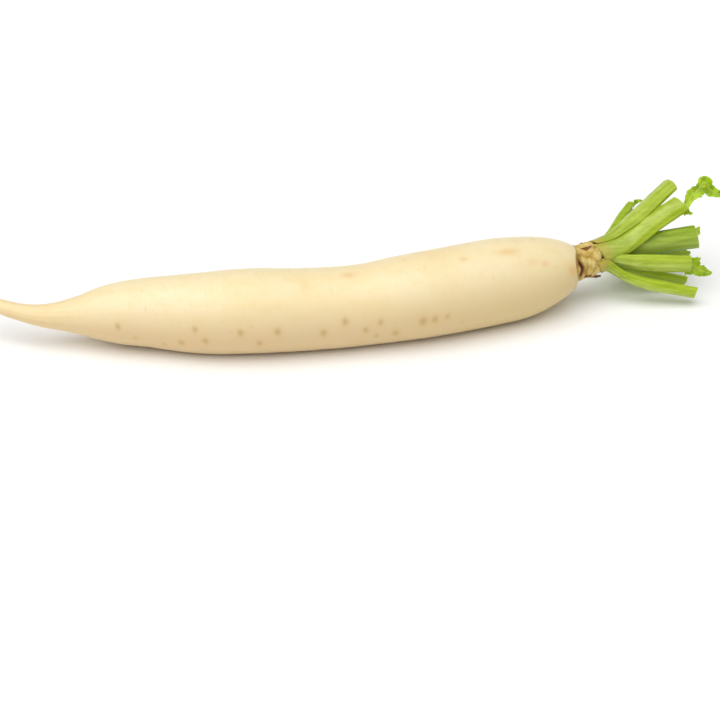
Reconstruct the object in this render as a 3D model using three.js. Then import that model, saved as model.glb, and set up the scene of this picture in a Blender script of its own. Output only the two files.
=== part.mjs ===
// A daikon radish as picked and trimmed for sale, in millimetres, +Z up. It lies on its belly along X,
// with the crown and the cut leaf stalks towards +X and the thin tail towards -X. The origin is on the
// flat strip that it rests on, under the thickest part of the root.
import * as THREE from "three";

// The middle of the root from the tip of the tail to the end of the crown: x, y and height above the rest.
const ROOT_MIDDLE = [
  [-384, 57, 33],
  [-372, 45, 30],
  [-354, 32, 26.6],
  [-329, 20.2, 24.8],
  [-301, 15.5, 25],
  [-276, 12.5, 25.8],
  [-251, 7.5, 26.8],
  [-216, -1.5, 27.9],
  [-179, -8, 29.2],
  [-144, -11, 28.4],
  [-101, -12, 28.1],
  [-71, -10.5, 29.5],
  [-45, -7.6, 30.2],
  [0, 0, 30.5],
  [20, 3.8, 29.8],
  [48.5, 9, 31.2],
  [71, 14, 32.6],
  [93, 19, 34],
];

// The root's radius, by the distance forward from the shoulder's end, where the crown starts.
const ROOT_RADIUS = [
  [-460, 2.6],
  [-440, 5.2],
  [-422, 6.2],
  [-407, 7.9],
  [-393, 10.2],
  [-378, 14],
  [-364, 18.8],
  [-350, 22.4],
  [-328, 25.3],
  [-312, 27],
  [-291, 29.1],
  [-254, 30.7],
  [-219, 29.8],
  [-175, 29.5],
  [-145, 31],
  [-119, 31.7],
  [-74, 32],
  [-53, 30.9],
  [-38, 28.7],
  [-24, 24.9],
  [-13, 20.6],
  [-5, 15.8],
  [0, 13],
  [5, 12.8],
  [10, 12.8],
  [14, 11.4],
  [17, 8.2],
  [20, 4.8],
];
const CROWN_LENGTH = 22;
const TAIL_TIP_RADIUS = 0.9;
const ROOT_SIDES = 24;
const RINGS_PER_STATION = 2;

// Leaf stalks in three whorls. Around is the angle about the crown from its back (+Y) over its top.
// Start and spread are its angles from the crown's axis, at the crown and past its bend. Lengths and the
// widths at its base and at its cut tip are in mm.
const WHORLS = {
  outer: { ring: 8.3, seat: 18.9 },
  middle: { ring: 5, seat: 21.4 },
  inner: { ring: 1.7, seat: 22.6 },
};
const LEAF_STALKS = [
  { whorl: "outer", around: 64, start: 13, spread: 26.5, length: 74, base: 7.1, tip: 15.5 },
  { whorl: "middle", around: 101, start: 12, spread: 24, length: 70, base: 6.2, tip: 14 },
  { whorl: "outer", around: 13, start: 18, spread: 36, length: 64, base: 6.6, tip: 9.5 },
  { whorl: "inner", around: 40, start: 9, spread: 14, length: 64, base: 3.4, tip: 9.5 },
  { whorl: "middle", around: 192, start: 30, spread: 23, length: 64, base: 4.2, tip: 13.5 },
  { whorl: "middle", around: 241, start: 29, spread: 22, length: 71, base: 3.8, tip: 10 },
  { whorl: "outer", around: 212, start: 52, spread: 27, length: 74, base: 6, tip: 9 },
  { whorl: "outer", around: 275, start: 16, spread: 25, length: 58, base: 6, tip: 9.5 },
  { whorl: "outer", around: 322, start: 14, spread: 28, length: 58, base: 6.4, tip: 10 },
  { whorl: "middle", around: 27, start: 11, spread: 22, length: 58, base: 5.6, tip: 9.5 },
  { whorl: "middle", around: 328, start: 9, spread: 17, length: 60, base: 4.2, tip: 9 },
  { whorl: "inner", around: 167, start: 9, spread: 13, length: 74, base: 3, tip: 17 },
  { whorl: "inner", around: 285, start: 10, spread: 14, length: 82, base: 2.9, tip: 10 },
];
const STALK_STEPS = 9;
const STALK_BEND_SHARE = 0.55;
const STALK_BASE_THICKNESS = 2.9;
const STALK_TIP_THICKNESS = 6;
const STALK_FULL_WIDTH_AT = 34;
const STALK_FULL_THICKNESS_AT = 46;

// Scraps of leaf blade left at the cut ends: the stalk that each grew on, the share of its length at
// which it is widest, and its midrib's course from the middle of that stalk's cut end, in mm.
const LEAF_BLADES = [
  {
    stalk: 2,
    width: 13,
    widest: 0.5,
    course: [[3, -2, -2], [8.5, 3, 4], [14, 6, 8.5], [20, 8, 12], [26, 4, 8], [31, 1, 5], [38, 0, 5]],
  },
  { stalk: 2, width: 9, widest: 0.4, course: [[1.2, -5, -4], [3.5, -6, -5], [7, -6.5, -5]] },
  { stalk: 5, width: 19, widest: 0.2, course: [[2.2, -1, -1], [6, -3, -4], [11, -5, -6], [16, -7, -7]] },
  { stalk: 12, width: 8, widest: 0.4, course: [[2.1, 0.5, 6], [3, 1, 9], [3.8, 1.4, 11.5]] },
  { stalk: 3, width: 8, widest: 0.4, course: [[2, 2, 1], [5, 3.5, 2], [9, 5, 2.5]] },
];
const BLADE_END_SHARE = 0.15;
const BLADE_STEPS = 8;
const BLADE_THICKNESS = 1;

// Dried bases of leaves shed earlier, round the neck between the shoulder and the crown.
const DRY_BASES = [
  { around: 226, width: 9, length: 11 },
  { around: 270, width: 6, length: 8 },
  { around: 106, width: 5, length: 6 },
  { around: 24, width: 7, length: 9 },
  { around: 318, width: 8, length: 8 },
];
const DRY_BASE_THICKNESS = 0.8;
const DRY_BASE_RING = 13.6;
const DRY_BASE_SEAT = 2.5;
const DRY_BASE_STEPS = 4;

const skin = new THREE.MeshStandardMaterial({ color: 0xf6e8c4, roughness: 0.45, metalness: 0 });
const stalkGreen = new THREE.MeshStandardMaterial({ color: 0xb4cc63, roughness: 0.5, metalness: 0 });
const bladeGreen = new THREE.MeshStandardMaterial({ color: 0x7fa51e, roughness: 0.6, metalness: 0 });
const dryBrown = new THREE.MeshStandardMaterial({ color: 0x8a4f1e, roughness: 0.9, metalness: 0 });

const vector = (point) => new THREE.Vector3(...point);
const smooth = (t) => THREE.MathUtils.smoothstep(t, 0, 1);
const radians = THREE.MathUtils.degToRad;

const radish = new THREE.Group();

function addPiece(name, geometry, material) {
  const mesh = new THREE.Mesh(geometry, material);
  mesh.name = name;
  radish.add(mesh);
}

// Moves each vertex of a geometry to the point that place(x, y, z) gives.
function reshape(geometry, place) {
  const position = geometry.getAttribute("position");
  for (let i = 0; i < position.count; i += 1) {
    const point = place(position.getX(i), position.getY(i), position.getZ(i));
    position.setXYZ(i, point.x, point.y, point.z);
  }
  geometry.deleteAttribute("normal");
  geometry.deleteAttribute("uv");
  return geometry;
}

// The root: a turned profile, bent along its middle line. Nothing of it reaches below the rest.
const rootMiddle = new THREE.CatmullRomCurve3(ROOT_MIDDLE.map(vector));
const rootLength = rootMiddle.getLength();
const up = new THREE.Vector3(0, 0, 1);

function taproot() {
  const tailTip = CROWN_LENGTH - rootLength;
  const stations = [[tailTip + 1, TAIL_TIP_RADIUS], ...ROOT_RADIUS];
  const outline = new THREE.SplineCurve(stations.map(([along, radius]) => new THREE.Vector2(radius, along)));
  const rings = outline.getPoints((stations.length - 1) * RINGS_PER_STATION);
  const profile = [new THREE.Vector2(0, tailTip), ...rings, new THREE.Vector2(0, CROWN_LENGTH)];
  return reshape(new THREE.LatheGeometry(profile, ROOT_SIDES), (x, y, z) => {
    const share = THREE.MathUtils.clamp((y - tailTip) / rootLength, 0, 1);
    const forward = rootMiddle.getTangentAt(share);
    const side = new THREE.Vector3().crossVectors(forward, up).normalize();
    const lift = new THREE.Vector3().crossVectors(side, forward);
    const point = rootMiddle.getPointAt(share).addScaledVector(side, x).addScaledVector(lift, z);
    point.z = Math.max(point.z, 0);
    return point;
  });
}

addPiece("taproot", taproot(), skin);

// The crown's own axes: forward along the root, back towards +Y, and top.
const crownEnd = rootMiddle.getPointAt(1);
const crownForward = rootMiddle.getTangentAt(1);
const crownBack = new THREE.Vector3().crossVectors(up, crownForward).normalize();
const crownTop = new THREE.Vector3().crossVectors(crownForward, crownBack);

function outwardAt(around) {
  const angle = radians(around);
  const outward = crownBack.clone().multiplyScalar(Math.cos(angle));
  return outward.addScaledVector(crownTop, Math.sin(angle));
}

// The section of a leaf stalk, one unit wide to each side: round outside, with a shallow channel inside.
function stalkSection() {
  const outline = [];
  for (let step = 0; step <= 6; step += 1) {
    const angle = (step * Math.PI) / 6;
    outline.push(new THREE.Vector2(Math.cos(angle), Math.sin(angle)));
  }
  outline.push(new THREE.Vector2(-0.93, -0.13));
  outline.push(new THREE.Vector2(-0.5, 0.03));
  outline.push(new THREE.Vector2(0, 0.12));
  outline.push(new THREE.Vector2(0.5, 0.03));
  outline.push(new THREE.Vector2(0.93, -0.13));
  return new THREE.Shape(outline);
}

// The section of a leaf blade or a dry base: a thin strip, one unit wide to each side.
function stripSection() {
  const outline = [];
  for (const x of [1, 0.35, -0.35, -1]) outline.push(new THREE.Vector2(x, 0.5));
  for (const x of [-1, -0.35, 0.35, 1]) outline.push(new THREE.Vector2(x, -0.5));
  return new THREE.Shape(outline);
}

// Sweeps a section along a course. frame(t) gives the place, the directions and the sizes at 0 <= t <= 1.
function sweep(section, steps, frame) {
  const straight = new THREE.ExtrudeGeometry(section, { depth: 1, steps, bevelEnabled: false });
  return reshape(straight, (x, y, z) => {
    const at = frame(z);
    const across = x * at.halfWidth;
    const outwards = y * at.thickness - (across * across) / (2 * at.wrap);
    return at.place.clone().addScaledVector(at.across, across).addScaledVector(at.outward, outwards);
  });
}

// A stalk leaves the crown at its start angle, bends to its spread round an arc, and then runs straight.
function stalkCourse(stalk) {
  const { ring, seat } = WHORLS[stalk.whorl];
  const end = radians(stalk.spread);
  const start = radians(stalk.start);
  const bendLength = stalk.length * STALK_BEND_SHARE;
  const bendRadius = bendLength / (end - start);
  const outward = outwardAt(stalk.around);
  return (t) => {
    const along = t * stalk.length;
    const lean = start + (end - start) * Math.min(along / bendLength, 1);
    const beyond = Math.max(along - bendLength, 0);
    const out = ring + bendRadius * (Math.cos(start) - Math.cos(lean)) + beyond * Math.sin(lean);
    const ahead = bendRadius * (Math.sin(lean) - Math.sin(start)) + beyond * Math.cos(lean);
    const place = crownEnd.clone().addScaledVector(outward, out);
    place.addScaledVector(crownForward, ahead + seat - CROWN_LENGTH);
    const forward = crownForward.clone().multiplyScalar(Math.cos(lean));
    forward.addScaledVector(outward, Math.sin(lean));
    const across = new THREE.Vector3().crossVectors(outward, crownForward);
    return {
      place,
      forward,
      across,
      outward: new THREE.Vector3().crossVectors(forward, across),
      halfWidth: THREE.MathUtils.lerp(stalk.base, stalk.tip, smooth(along / STALK_FULL_WIDTH_AT)) / 2,
      thickness: THREE.MathUtils.lerp(
        STALK_BASE_THICKNESS,
        STALK_TIP_THICKNESS,
        smooth(along / STALK_FULL_THICKNESS_AT),
      ),
      wrap: Math.max(out, 4),
    };
  };
}

const twoDigits = (number) => String(number).padStart(2, "0");

LEAF_STALKS.forEach((stalk, i) => {
  const geometry = sweep(stalkSection(), STALK_STEPS, stalkCourse(stalk));
  addPiece(`leaf_stalk_${twoDigits(i + 1)}`, geometry, stalkGreen);
});

// A leaf blade narrows from its widest place to both ends of its midrib.
LEAF_BLADES.forEach((blade, i) => {
  const end = stalkCourse(LEAF_STALKS[blade.stalk - 1])(1);
  const midrib = new THREE.CatmullRomCurve3(blade.course.map((point) => vector(point).add(end.place)));
  const swell = Math.log(0.5) / Math.log(blade.widest);
  const geometry = sweep(stripSection(), BLADE_STEPS, (t) => {
    const forward = midrib.getTangentAt(t);
    const across = new THREE.Vector3().crossVectors(end.outward, forward).normalize();
    return {
      place: midrib.getPointAt(t),
      across,
      outward: new THREE.Vector3().crossVectors(forward, across),
      halfWidth: (blade.width / 2) * THREE.MathUtils.lerp(BLADE_END_SHARE, 1, Math.sin(Math.PI * t ** swell)),
      thickness: BLADE_THICKNESS,
      wrap: 30,
    };
  });
  addPiece(`leaf_blade_${twoDigits(i + 1)}`, geometry, bladeGreen);
});

// A dry base hugs the crown, narrows and curls away from it.
DRY_BASES.forEach((base, i) => {
  const outward = outwardAt(base.around);
  const geometry = sweep(stripSection(), DRY_BASE_STEPS, (t) => {
    const out = DRY_BASE_RING + 2.5 * t * t;
    const place = crownEnd.clone().addScaledVector(outward, out);
    place.addScaledVector(crownForward, DRY_BASE_SEAT + t * base.length - CROWN_LENGTH);
    return {
      place,
      across: new THREE.Vector3().crossVectors(outward, crownForward),
      outward,
      halfWidth: (base.width / 2) * (1 - 0.75 * t),
      thickness: DRY_BASE_THICKNESS,
      wrap: DRY_BASE_RING,
    };
  });
  addPiece(`dry_leaf_base_${i + 1}`, geometry, dryBrown);
});

export default radish;
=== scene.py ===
"""A daikon radish, picked and trimmed: its root, cut leaf stalks, leaf scraps and dried leaf bases."""

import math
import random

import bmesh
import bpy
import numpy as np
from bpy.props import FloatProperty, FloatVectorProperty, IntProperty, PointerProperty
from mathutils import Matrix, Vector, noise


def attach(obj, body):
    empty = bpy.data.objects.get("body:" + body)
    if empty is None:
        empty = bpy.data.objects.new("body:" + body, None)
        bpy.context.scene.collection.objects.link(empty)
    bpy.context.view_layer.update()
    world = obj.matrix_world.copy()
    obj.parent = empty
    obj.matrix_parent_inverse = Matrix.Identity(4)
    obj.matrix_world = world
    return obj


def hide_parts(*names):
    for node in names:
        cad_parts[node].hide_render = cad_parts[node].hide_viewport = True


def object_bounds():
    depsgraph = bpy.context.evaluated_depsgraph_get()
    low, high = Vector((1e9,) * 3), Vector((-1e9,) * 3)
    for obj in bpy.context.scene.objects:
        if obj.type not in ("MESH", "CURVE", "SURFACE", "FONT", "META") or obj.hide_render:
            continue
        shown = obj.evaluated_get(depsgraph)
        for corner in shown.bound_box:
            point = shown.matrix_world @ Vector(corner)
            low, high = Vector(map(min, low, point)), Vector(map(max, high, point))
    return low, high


bl_info = {
    "name": "Daikon Radish",
    "version": (1, 0, 0),
    "blender": (4, 5, 0),
    "location": "3D View > Sidebar > Radish",
    "description": "Models a trimmed daikon radish on its packed frame, with a pale studio stage",
    "category": "Add Mesh",
}

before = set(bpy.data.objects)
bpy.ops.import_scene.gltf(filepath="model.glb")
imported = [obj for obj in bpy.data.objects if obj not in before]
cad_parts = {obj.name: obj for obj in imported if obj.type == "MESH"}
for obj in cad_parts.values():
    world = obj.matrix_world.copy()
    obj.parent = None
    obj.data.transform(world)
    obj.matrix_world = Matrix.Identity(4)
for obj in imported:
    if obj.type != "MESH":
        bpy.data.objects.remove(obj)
CAD_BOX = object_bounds()

MM = 0.001

# ---------------- sizes in mm, nearly all as in the CAD part

# The middle of the root from the tip of the tail to the end of the crown: x, y and height above the rest.
ROOT_MIDDLE = [
    (-384, 57, 33), (-372, 45, 30), (-354, 32, 26.6), (-329, 20.2, 24.8), (-301, 15.5, 25),
    (-276, 12.5, 25.8), (-251, 7.5, 26.8), (-216, -1.5, 27.9), (-179, -8, 29.2), (-144, -11, 28.4),
    (-101, -12, 28.1), (-71, -10.5, 29.5), (-45, -7.6, 30.2), (0, 0, 30.5), (20, 3.8, 29.8),
    (48.5, 9, 31.2), (71, 14, 32.6), (93, 19, 34),
]

# The root's radius, by the distance forward from the shoulder's end, where the crown starts.
ROOT_RADIUS = [
    (-460, 2.6), (-440, 5.2), (-422, 6.2), (-407, 7.9), (-393, 10.2), (-378, 14), (-364, 18.8),
    (-350, 22.4), (-328, 25.3), (-312, 27), (-291, 29.1), (-254, 30.7), (-219, 29.8), (-175, 29.5),
    (-145, 31), (-119, 31.7), (-74, 32), (-53, 30.9), (-38, 28.7), (-24, 24.9), (-13, 20.6),
    (-5, 15.8), (0, 13), (5, 12.8), (10, 12.8), (14, 11.4), (17, 8.2), (20, 4.8),
]
CROWN_LENGTH = 22
CROWN_RADIUS = 13
TAIL_TIP_RADIUS = 0.9

# The neck under the crown's edge: its radius at the shoulder's end, and how fast it widens behind that.
NECK_RADIUS = 13.4
NECK_TAPER = 0.12

# Steps of the skin of each kind of piece around it and, where its shape doesn't say, along it.
ROOT_AROUND = 168
STALK_AROUND = 96
BLADE_GRID = (72, 140)
DRY_BASE_GRID = (64, 44)

# Each whorl's distance from the crown's axis, and how far forward from the shoulder's end it starts.
WHORLS = {"outer": (8.3, 18.9), "middle": (5, 21.4), "inner": (1.7, 22.6)}

# Whorl, angle round the crown from its back over its top, angles from the crown's axis at the start and
# past the bend, length, and width at the cut. Then the stalk's width above its base, the angle and half
# width of the sheath that clasps the crown, where above the base the sheath has become the stalk, and
# how green the stalk is, which also sets how much painted shade darkens it near its base. The first two
# press against each other, so they are a little broader and nearer to each other than in the CAD part,
# whose solids keep a gap.
LEAF_STALKS = [
    ("outer", 68, 13, 26.5, 77, 18.5, 14, 46, 9, 30, 0.34),
    ("middle", 99.5, 12, 24, 70, 17, 14.5, 128, 10.5, 30, 0.3),
    ("outer", 13, 18, 36, 64, 9.5, 8, 8, 5.4, 11, 0.6),
    ("inner", 40, 9, 14, 64, 9.5, 6, 40, 2.4, 11, 0.9),
    ("middle", 192, 30, 23, 64, 14, 10.5, 188, 4.8, 12, 0.25),
    ("middle", 241, 29, 22, 71, 10, 7, 241, 3.6, 11, 0.45),
    ("outer", 212, 52, 27, 74, 9, 8, 200, 6.8, 15, 0.3),
    ("outer", 275, 16, 25, 58, 9.5, 8, 272, 5.8, 11, 0.5),
    ("outer", 322, 14, 28, 58, 10, 8, 322, 5.8, 11, 0.45),
    ("middle", 27, 11, 22, 58, 9.5, 7, 27, 4, 11, 0.6),
    ("middle", 328, 9, 17, 60, 9, 7, 328, 4, 11, 0.7),
    ("inner", 167, 9, 13, 74, 17.5, 9, 167, 2.4, 11, 0.9),
    ("inner", 285, 10, 14, 82, 10, 6, 285, 2.4, 11, 0.7),
]
STALK_BEND_SHARE = 0.55
STALK_BASE_THICKNESS = 2.9
STALK_TIP_THICKNESS = 6
STALK_FULL_WIDTH_AT = 34
STALK_FULL_THICKNESS_AT = 46

# The channel down a stalk's inner side, and the swell beside it: shares of the stalk's thickness. The
# channel's spread is a share of the half width.
CHANNEL_DEPTH = 0.34
CHANNEL_SPREAD = 0.42
INNER_SWELL = 0.18

# Each whorl's sheaths reach back over the crown this far, and are this thin there. Their edges slope
# this much, further forward on the side that comes first round the crown.
SHEATH_REACH = {"outer": 5.6, "middle": 5.8, "inner": 4}
SHEATH_THICKNESS = 1.3
SHEATH_EDGE_SLOPE = 0.4

# The stalk that each scrap of blade grew on, its width, the share of its length where it is widest, how
# far its edge ruffles, its lobes, its turn about its midrib in degrees, and its midrib's course from the
# middle of that stalk's cut end.
LEAF_BLADES = [
    (2, 12.5, 0.5, 1.2, 3, 42, [(3, -2, -2), (8.5, 3, 4), (14.5, 6, 8.5), (20, 8, 12.6), (24.5, 4, 7.6),
                              (31, 1, 5), (38, 0, 5)]),
    (2, 9, 0.4, 1.0, 2, 0, [(1.2, -5, -4), (3.5, -6, -5), (7, -6.5, -5)]),
    (5, 19, 0.2, 0.9, 2, 0, [(2.2, -1, -1), (6, -3, -4), (11, -5, -6), (16, -7, -7)]),
    (12, 8, 0.4, 0.8, 2, 0, [(-1.6, 0.5, 3), (-0.4, 1, 6), (1.6, 1.4, 8.5)]),
    (3, 8, 0.4, 0.9, 2, 0, [(2, 2, 1), (5, 3.5, 2), (9, 5, 2.5)]),
]

# Dried bases of leaves shed earlier: angle round the crown, width and length.
DRY_BASES = [(226, 9, 11), (270, 6, 8), (106, 5, 6), (24, 7, 9), (318, 8, 8)]
DRY_BASE_RING = 13.6
DRY_BASE_SEAT = 2.5

# ---------------- marks on the skin, in mm and degrees

# Scars of side roots on the side that faces forward: distance forward from the shoulder's end, angle
# round the root from its top towards the front, and size against a common scar.
FRONT_SCARS = [
    (-347, 85, 1.0), (-335, 107, 0.7), (-313, 117, 0.8), (-300, 108, 1.0), (-290, 83, 0.9),
    (-284, 102, 1.0), (-260, 89, 1.0), (-248, 108, 1.0), (-236, 89, 1.1), (-205, 95, 1.1),
    (-190, 80, 1.1), (-176, 96, 0.9), (-169, 110, 0.8), (-166, 86, 0.9), (-156, 109, 1.2),
    (-137, 94, 1.4), (-129, 94, 1.1), (-120, 93, 0.8), (-109, 106, 0.6),
]

# The row of scars opposite: its angle, its spread, how many, the first one's place and the step.
BACK_ROW_ANGLE = 278
BACK_ROW_SPREAD = 13
BACK_ROW_COUNT = 20
BACK_ROW_START = -345
BACK_ROW_STEP = 13.5

# Small scars on the tail, in two rows, and pores all over the root.
TAIL_SCAR_ANGLES = (88, 272)
TAIL_SCAR_SPREAD = 14
TAIL_SCAR_COUNT = 9
TAIL_SCAR_START = -372
TAIL_SCAR_STEP = 8
TAIL_SCAR_SIZE = 0.6
PORE_REACH = (-370, -15)
PORE_SIZES = (0.2, 0.42)

# Tan blotches: distance forward from the shoulder's end, angle, length, breadth and strength.
BLOTCHES = [
    (-67, 20, 9, 3.5, 0.8), (-12.5, 74, 2.6, 3.0, 1.0), (-39, 46, 3.2, 2.6, 0.7),
    (-100, 19, 3.4, 2.4, 0.6), (-184, 10, 5, 3, 0.8), (-216, 26, 4, 6, 0.4), (-16.5, 68, 3.6, 4.2, 1.0),
    (-50, 40, 6, 3.4, 0.45), (-140, -40, 7, 3, 0.6), (-250, -60, 6, 3, 0.6), (-70, -75, 8, 4, 0.7),
    (-310, 200, 7, 4, 0.6), (-120, 215, 9, 4, 0.5),
]

# The crown's edge: its place forward from the shoulder's end, how far back it sweeps on the side that
# faces forward and on top, and the middle and spread of that sweep round the root.
CROWN_EDGE = -2.8
CROWN_EDGE_SWEEP = 8.8
CROWN_EDGE_FRONT = (82, 66)

# The crown's knobs: the rings that they stand in, how many to a ring, and the start of their random sizes.
KNOB_RINGS = (-5, -1, 3, 7.5, 12, 15.5)
KNOBS_IN_RING = 6
KNOB_SEED = 19

# Rust-brown cracks along the crown's edge, strong on the front and weak on top, and a streak ahead of
# them that bows towards the leaves. Pairs are an angle and a spread round the root, the rest is in mm.
RUST_FRONT = (79, 32)
RUST_TOP = (12, 14)
CRACK_AHEAD = 0.5
CRACK_BREADTH = 0.8
STREAK_AHEAD = 4.4
STREAK_BREADTH = 1.7
STREAK_BOW = 2.8
STREAK_BOW_AT = (76, 24)
RUST_DEPTH = 1.0

# ---------------- the stage, in metres

# The floor reaches this far from its middle on every side, so that its edge is out of view.
FLOOR_REACH = 40.0

# The diffuser's light travels this way, and this is how broad it looks from the floor.
LIGHT_DIRECTION = (0.30, 0.26, -1.0)
LIGHT_ANGLE = math.radians(70)

# The camera's sensor, and the place that it looks at: its offset from the middle of the CAD box, and
# its height.
SENSOR_WIDTH_MM = 36
AIM_OFFSET = (-0.019, -0.1032)
AIM_HEIGHT = 0.030


def smooth(value, low=0.0, high=1.0):
    """0 below low, 1 above high, and an even S between them."""
    share = np.clip((np.asarray(value, float) - low) / (high - low), 0, 1)
    return share * share * (3 - 2 * share)


def blend(first, second, share):
    return first + (second - first) * share


def bell(value, width=1.0):
    """1 at 0, fading out evenly on both sides over about that width."""
    return np.exp(-((value / width) ** 2))


def columns(*values):
    return np.stack(values, axis=-1)


def to_linear(colour):
    """An sRGB hex colour as linear red, green, blue and alpha."""
    channels = [int(colour[i:i + 2], 16) / 255 for i in (0, 2, 4)]
    return tuple(c / 12.92 if c <= 0.04045 else ((c + 0.055) / 1.055) ** 2.4 for c in channels) + (1.0,)


def unit(vectors):
    vectors = np.asarray(vectors, float)
    return vectors / np.linalg.norm(vectors, axis=-1, keepdims=True)


class Course:
    """A smooth centripetal curve through points, read by the share of its length."""

    STEPS = 40

    def __init__(self, points):
        points = np.asarray(points, float)
        padded = np.vstack([2 * points[0] - points[1], points, 2 * points[-1] - points[-2]])
        line = [points[:1]]
        for p0, p1, p2, p3 in zip(padded, padded[1:], padded[2:], padded[3:]):
            line.append(self.span(p0, p1, p2, p3))
        self.line = np.vstack(line)
        steps = np.linalg.norm(np.diff(self.line, axis=0), axis=1)
        self.reach = np.concatenate([[0], np.cumsum(steps)])
        self.length = self.reach[-1]
        self.slope = unit(np.gradient(self.line, self.reach, axis=0))

    def span(self, p0, p1, p2, p3):
        d0, d1, d2 = (math.sqrt(np.linalg.norm(b - a)) for a, b in ((p0, p1), (p1, p2), (p2, p3)))
        leave = ((p1 - p0) / d0 - (p2 - p0) / (d0 + d1) + (p2 - p1) / d1) * d1
        arrive = ((p2 - p1) / d1 - (p3 - p1) / (d1 + d2) + (p3 - p2) / d2) * d1
        t = np.linspace(0, 1, self.STEPS + 1)[1:, None]
        rise = 3 * (p2 - p1) - 2 * leave - arrive
        return p1 + leave * t + rise * t**2 + (2 * (p1 - p2) + leave + arrive) * t**3

    def read(self, table, share):
        at = np.clip(share, 0, 1) * self.length
        return np.stack([np.interp(at, self.reach, column) for column in table.T], axis=-1)

    def place(self, share):
        return self.read(self.line, share)

    def forward(self, share):
        return unit(self.read(self.slope, share))


ROOT_COURSE = Course(ROOT_MIDDLE)
TAIL_TIP = CROWN_LENGTH - ROOT_COURSE.length
RADIUS_COURSE = Course([(TAIL_TIP + 1, TAIL_TIP_RADIUS), *ROOT_RADIUS])
UP = np.array([0.0, 0.0, 1.0])

CROWN_END = ROOT_COURSE.place(1.0)
CROWN_FORWARD = ROOT_COURSE.forward(1.0)
CROWN_BACK = unit(np.cross(UP, CROWN_FORWARD))
CROWN_TOP = np.cross(CROWN_FORWARD, CROWN_BACK)


def outward_at(around):
    """The direction out from the crown's axis, by the angle from its back over its top."""
    angle = np.radians(around)[..., None]
    return CROWN_BACK * np.cos(angle) + CROWN_TOP * np.sin(angle)


# ---------------- meshes


# A skin's seam and ends close over gaps up to this, and shorter edges than this are dissolved, in metres.
SEAM_GAP = 1e-7
SHORTEST_EDGE = 1e-8


def noise_at(points, size, seed=0.0):
    """Smooth noise from -1 to 1 at points in mm, with features of about that size in mm."""
    offset = Vector((seed, seed * 1.7, -seed))
    return np.array([noise.noise(Vector(point) / size + offset) for point in points])


def closed_skin(name, around, along, shape):
    """A sheet rolled up and closed where its edges meet. shape(u, v) gives each vertex's place in mm,
    and its marks: a name and an array of four values for each vertex."""
    bm = bmesh.new()
    bm.loops.layers.uv.new("surface")
    bmesh.ops.create_grid(bm, x_segments=around, y_segments=along, size=0.5, calc_uvs=True)
    flat = np.array([vertex.co for vertex in bm.verts]) + 0.5
    places, marks = shape(flat[:, 0], flat[:, 1])
    for vertex, place in zip(bm.verts, places * MM):
        vertex.co = place
    for mark, values in marks.items():
        layer = bm.verts.layers.float_color.new(mark)
        for vertex, value in zip(bm.verts, values):
            vertex[layer] = value
    bmesh.ops.remove_doubles(bm, verts=bm.verts, dist=SEAM_GAP)
    bmesh.ops.dissolve_degenerate(bm, edges=bm.edges, dist=SHORTEST_EDGE)
    for face in bm.faces:
        face.smooth = True
    mesh = bpy.data.meshes.new(name)
    bm.to_mesh(mesh)
    bm.free()
    piece = bpy.data.objects.new(name, mesh)
    bpy.context.scene.collection.objects.link(piece)
    return piece


def settle(piece, material, node):
    """Gives a piece its material and its body, and hides the CAD node that it stands for."""
    piece.data.materials.append(material)
    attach(piece, "root")
    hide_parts(node)


# ---------------- the root


def root_radius(along):
    """The root's radius in mm, by the distance forward from the shoulder's end."""
    line = RADIUS_COURSE.line
    radius = np.interp(along, line[:, 0], line[:, 1])
    tail = TAIL_TIP_RADIUS * np.sqrt(np.clip((along - TAIL_TIP) / 1.0, 0, 1))
    radius = np.where(along < TAIL_TIP + 1, tail, radius)
    end_radius = ROOT_RADIUS[-1][1]
    end_share = np.clip((CROWN_LENGTH - along) / (CROWN_LENGTH - ROOT_RADIUS[-1][0]), 0, 1)
    return np.where(along > ROOT_RADIUS[-1][0], end_radius * end_share**0.6, radius)


def angle_apart(first, second):
    """The difference of two angles in degrees, from -180 to 180."""
    return (first - second + 180) % 360 - 180


def near_angle(around, angle, spread):
    """1 at an angle round the root, fading out on both sides over that spread, in degrees."""
    return bell(angle_apart(around, angle), spread)


def spot(along, around, radius, at, angle, long, broad):
    """How near each vertex is to the middle of a mark on the root, in sizes of that mark."""
    ahead = (along - at) / long
    aside = np.radians(angle_apart(around, angle)) * radius / broad
    return np.hypot(ahead, aside)


def root_scars(settings):
    """Scars of side roots: the front row, the back row, pores all over and small ones on the tail."""
    draw = random.Random(settings.seed)
    scars = list(FRONT_SCARS)
    for i in range(BACK_ROW_COUNT):
        at = BACK_ROW_START + i * BACK_ROW_STEP + draw.uniform(-4, 4)
        angle = BACK_ROW_ANGLE + draw.uniform(-BACK_ROW_SPREAD, BACK_ROW_SPREAD)
        scars.append((at, angle, draw.uniform(0.7, 1.3)))
    for _ in range(settings.pores):
        scars.append((draw.uniform(*PORE_REACH), draw.uniform(0, 360), draw.uniform(*PORE_SIZES)))
    for i in range(TAIL_SCAR_COUNT):
        at = TAIL_SCAR_START - i * TAIL_SCAR_STEP + draw.uniform(-2, 2)
        angle = draw.choice(TAIL_SCAR_ANGLES) + draw.uniform(-TAIL_SCAR_SPREAD, TAIL_SCAR_SPREAD)
        scars.append((at, angle, TAIL_SCAR_SIZE))
    return scars


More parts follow.
